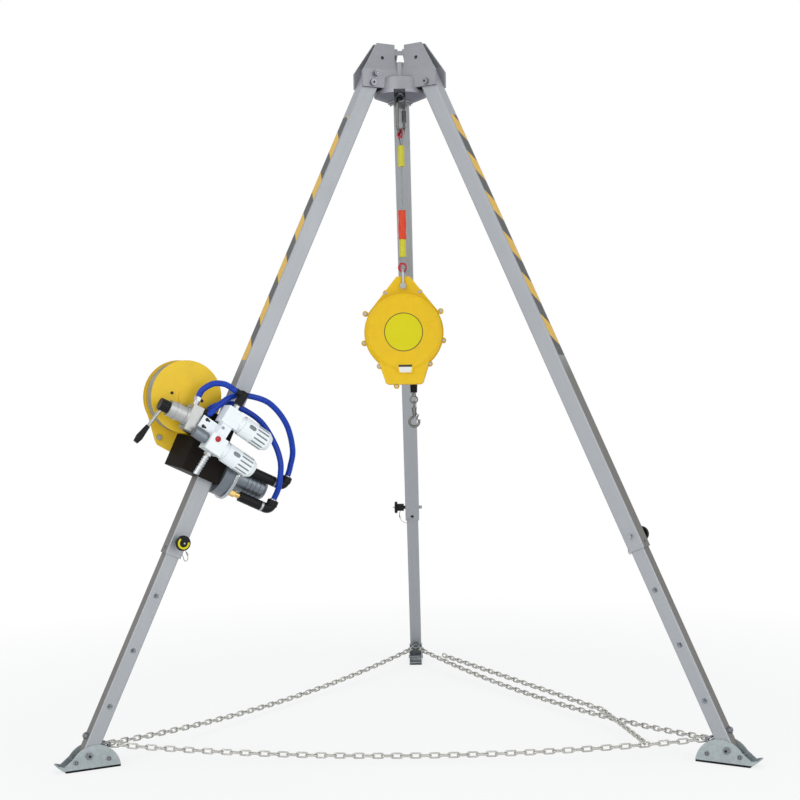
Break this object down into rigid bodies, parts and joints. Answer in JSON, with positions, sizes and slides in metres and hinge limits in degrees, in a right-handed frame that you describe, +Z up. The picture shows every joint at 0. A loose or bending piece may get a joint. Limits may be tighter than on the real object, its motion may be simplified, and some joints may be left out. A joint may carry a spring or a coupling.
{
  "type": "rescue tripod",
  "caption": "Aluminium confined-space rescue tripod with telescoping legs tied by a chain, hanging retractable fall arrester and leg-mounted air winch with hoses",
  "frame": {"origin": "on the ground under the middle of the head", "axes": "+Z up; -Y toward the front span of chain; +X toward the right leg side"},
  "size_m": [1.9682, 1.7045, 2.1351],
  "materials": {
    "head_alloy": "cast alloy, satin",
    "zinc_steel": "zinc plated steel",
    "leg_alloy": "brushed alloy tube",
    "shoe_zinc": "zinc plated sheet steel",
    "black_rubber": "ribbed rubber",
    "pin_dark": "black coated steel",
    "plain_steel": "bright steel",
    "chain_steel": "galvanised, dull",
    "wire_rope": "stranded wire rope",
    "sleeve_orange": "shrink sleeves",
    "thimble_red": "red painted thimbles",
    "arrester_yellow": "yellow enamel",
    "drum_grey": "cast drum",
    "bracket_black": "black paint",
    "winch_yellow": "yellow paint",
    "valve_grey": "cast valve body",
    "black_plastic": "moulded black plastic",
    "unit_white": "white moulded plastic",
    "nipple_brass": "turned brass",
    "hose_blue": "blue air hose"
  },
  "bodies": {
    "head": {"head_casting": "head_alloy", "head_pins": "zinc_steel", "eye_bolt": "zinc_steel"},
    "lock_left": {"lock_pin_left": "zinc_steel"},
    "leg_upper_left": {"upper_tube_left": "leg_alloy", "winch_bracket": "bracket_black", "winch_plate": "winch_yellow", "air_motor": "bracket_black", "valve_body": "valve_grey", "filter_units": "unit_white", "black_fittings": "black_plastic", "metal_nipples": "nipple_brass", "air_hoses": "hose_blue"},
    "leg_lower_left": {"lower_tube_left": "leg_alloy", "chain_eye_left": "zinc_steel", "chain_left": "chain_steel"},
    "foot_left": {"foot_shoe_left": "shoe_zinc", "foot_pad_left": "black_rubber", "foot_pins_left": "zinc_steel"},
    "pin_left": {"adjusting_pin_left": "pin_dark"},
    "button_left": {"pin_button_left": "plain_steel"},
    "lock_right": {"lock_pin_right": "zinc_steel"},
    "leg_upper_right": {"upper_tube_right": "leg_alloy"},
    "leg_lower_right": {"lower_tube_right": "leg_alloy", "chain_eye_right": "zinc_steel", "chain_right": "chain_steel"},
    "foot_right": {"foot_shoe_right": "shoe_zinc", "foot_pad_right": "black_rubber", "foot_pins_right": "zinc_steel"},
    "pin_right": {"adjusting_pin_right": "pin_dark"},
    "button_right": {"pin_button_right": "plain_steel"},
    "lock_rear": {"lock_pin_rear": "zinc_steel"},
    "leg_upper_rear": {"upper_tube_rear": "leg_alloy"},
    "leg_lower_rear": {"lower_tube_rear": "leg_alloy", "chain_eye_rear": "zinc_steel", "chain_rear": "chain_steel"},
    "foot_rear": {"foot_shoe_rear": "shoe_zinc", "foot_pad_rear": "black_rubber", "foot_pins_rear": "zinc_steel"},
    "pin_rear": {"adjusting_pin_rear": "pin_dark"},
    "button_rear": {"pin_button_rear": "plain_steel"},
    "sling": {"carabiner": "plain_steel", "sling_rope": "wire_rope", "sling_sleeves": "sleeve_orange", "sling_thimbles": "thimble_red", "hanger_shackle": "plain_steel"},
    "gate": {"carabiner_gate": "plain_steel"},
    "arrester": {"casing_front": "arrester_yellow", "casing_rear": "arrester_yellow", "casing_screws": "plain_steel", "drum_axle": "plain_steel"},
    "cable_drum": {"cable_drum": "drum_grey"},
    "lifeline": {"lifeline": "plain_steel", "bumper": "black_rubber"},
    "snap_hook": {"snap_hook": "plain_steel"},
    "hook_gate": {"hook_gate": "plain_steel"},
    "winch_drum": {"rope_drum": "winch_yellow", "rope_winding": "wire_rope"},
    "valve_lever": {"valve_lever": "black_plastic"},
    "regulator_knob": {"regulator_knob": "black_plastic"}
  },
  "joints": [
    {"name": "lock_slide_left", "type": "slide", "parent": "head", "child": "lock_left", "axis": [0.5, -0.866, 0], "range_m": [-0.006, 0]},
    {"name": "leg_fold_left", "type": "hinge", "parent": "head", "child": "leg_upper_left", "pos_m": [-0.09873, -0.057, 2.00508], "axis": [0.5, -0.866, 0], "range_deg": [0, 15], "deforming": ["chain_left"]},
    {"name": "leg_extend_left", "type": "slide", "parent": "leg_upper_left", "child": "leg_lower_left", "axis": [0.3674, 0.2121, 0.9056], "range_m": [0, 0.4965], "deforming": ["chain_left"]},
    {"name": "foot_tilt_left", "type": "hinge", "parent": "leg_lower_left", "child": "foot_left", "pos_m": [-0.89591, -0.51726, 0.04], "axis": [0.5, -0.866, 0], "range_deg": [-15, 15]},
    {"name": "pin_slide_left", "type": "slide", "parent": "leg_upper_left", "child": "pin_left", "axis": [0.5, -0.866, 0], "range_m": [-0.0055, 0]},
    {"name": "button_press_left", "type": "slide", "parent": "pin_left", "child": "button_left", "axis": [0.5, -0.866, 0], "range_m": [-0.003, 0], "stiffness_N_per_m": 600, "springref_m": 0.001},
    {"name": "lock_slide_right", "type": "slide", "parent": "head", "child": "lock_right", "axis": [0.5, 0.866, 0], "range_m": [-0.006, 0]},
    {"name": "leg_fold_right", "type": "hinge", "parent": "head", "child": "leg_upper_right", "pos_m": [0.09873, -0.057, 2.00508], "axis": [0.5, 0.866, 0], "range_deg": [0, 15], "deforming": ["chain_right"]},
    {"name": "leg_extend_right", "type": "slide", "parent": "leg_upper_right", "child": "leg_lower_right", "axis": [-0.3674, 0.2121, 0.9056], "range_m": [0, 0.4965], "deforming": ["chain_right"]},
    {"name": "foot_tilt_right", "type": "hinge", "parent": "leg_lower_right", "child": "foot_right", "pos_m": [0.89591, -0.51726, 0.04], "axis": [0.5, 0.866, 0], "range_deg": [-15, 15]},
    {"name": "pin_slide_right", "type": "slide", "parent": "leg_upper_right", "child": "pin_right", "axis": [0.5, 0.866, 0], "range_m": [-0.0055, 0]},
    {"name": "button_press_right", "type": "slide", "parent": "pin_right", "child": "button_right", "axis": [0.5, 0.866, 0], "range_m": [-0.003, 0], "stiffness_N_per_m": 600, "springref_m": 0.001},
    {"name": "lock_slide_rear", "type": "slide", "parent": "head", "child": "lock_rear", "axis": [-1, 0, 0], "range_m": [-0.006, 0]},
    {"name": "leg_fold_rear", "type": "hinge", "parent": "head", "child": "leg_upper_rear", "pos_m": [0, 0.114, 2.00508], "axis": [-1, 0, 0], "range_deg": [0, 15], "deforming": ["chain_rear"]},
    {"name": "leg_extend_rear", "type": "slide", "parent": "leg_upper_rear", "child": "leg_lower_rear", "axis": [0, -0.4242, 0.9056], "range_m": [0, 0.4965], "deforming": ["chain_rear"]},
    {"name": "foot_tilt_rear", "type": "hinge", "parent": "leg_lower_rear", "child": "foot_rear", "pos_m": [0, 1.03451, 0.04], "axis": [-1, 0, 0], "range_deg": [-15, 15]},
    {"name": "pin_slide_rear", "type": "slide", "parent": "leg_upper_rear", "child": "pin_rear", "axis": [-1, 0, 0], "range_m": [-0.0055, 0]},
    {"name": "button_press_rear", "type": "slide", "parent": "pin_rear", "child": "button_rear", "axis": [-1, 0, 0], "range_m": [-0.003, 0], "stiffness_N_per_m": 600, "springref_m": 0.001},
    {"name": "sling_swing", "type": "hinge", "parent": "head", "child": "sling", "pos_m": [0, 0, 1.97608], "axis": [0, 1, 0], "range_deg": [-5, 5]},
    {"name": "gate_open", "type": "hinge", "parent": "sling", "child": "gate", "pos_m": [0.01, 0.01732, 1.89468], "axis": [0.866, -0.5, 0], "range_deg": [0, 25], "stiffness_Nm_per_rad": 0.6, "springref_deg": -11.46},
    {"name": "arrester_swing", "type": "hinge", "parent": "sling", "child": "arrester", "pos_m": [0, 0, 1.37888], "axis": [0, 1, 0], "range_deg": [-12, 12]},
    {"name": "cable_drum_turn", "type": "hinge", "parent": "arrester", "child": "cable_drum", "pos_m": [0, 0, 1.23188], "axis": [0, 1, 0], "range_deg": [0, 310]},
    {"name": "lifeline_pull", "type": "slide", "parent": "arrester", "child": "lifeline", "axis": [0, 0, -1], "range_m": [0, 0.15], "stiffness_N_per_m": 60, "springref_m": -0.35},
    {"name": "hook_swivel", "type": "hinge", "parent": "lifeline", "child": "snap_hook", "pos_m": [0.028, 0, 0.98538], "axis": [0, 0, 1], "continuous": true},
    {"name": "hook_gate_open", "type": "hinge", "parent": "snap_hook", "child": "hook_gate", "pos_m": [0.0405, 0, 0.97138], "axis": [0, 1, 0], "range_deg": [0, 18], "stiffness_Nm_per_rad": 0.02, "springref_deg": -5.73},
    {"name": "winch_drum_turn", "type": "hinge", "parent": "leg_upper_left", "child": "winch_drum", "pos_m": [-0.636, -0.36719, 1.03902], "axis": [0.5, -0.866, 0], "continuous": true},
    {"name": "valve_lever_throw", "type": "hinge", "parent": "leg_upper_left", "child": "valve_lever", "pos_m": [-0.65995, -0.46878, 1.00959], "axis": [-0.7842, -0.4528, 0.4242], "range_deg": [-35, 35], "stiffness_Nm_per_rad": 2},
    {"name": "regulator_turn", "type": "hinge", "parent": "leg_upper_left", "child": "regulator_knob", "pos_m": [-0.53563, -0.4455, 0.9029], "axis": [-0.7171, -0.414, 0.5606], "range_deg": [-150, 150]}
  ],
  "couplings": [
    {"joint": "cable_drum_turn", "follows": "lifeline_pull", "rad_per_m": 35.714}
  ]
}
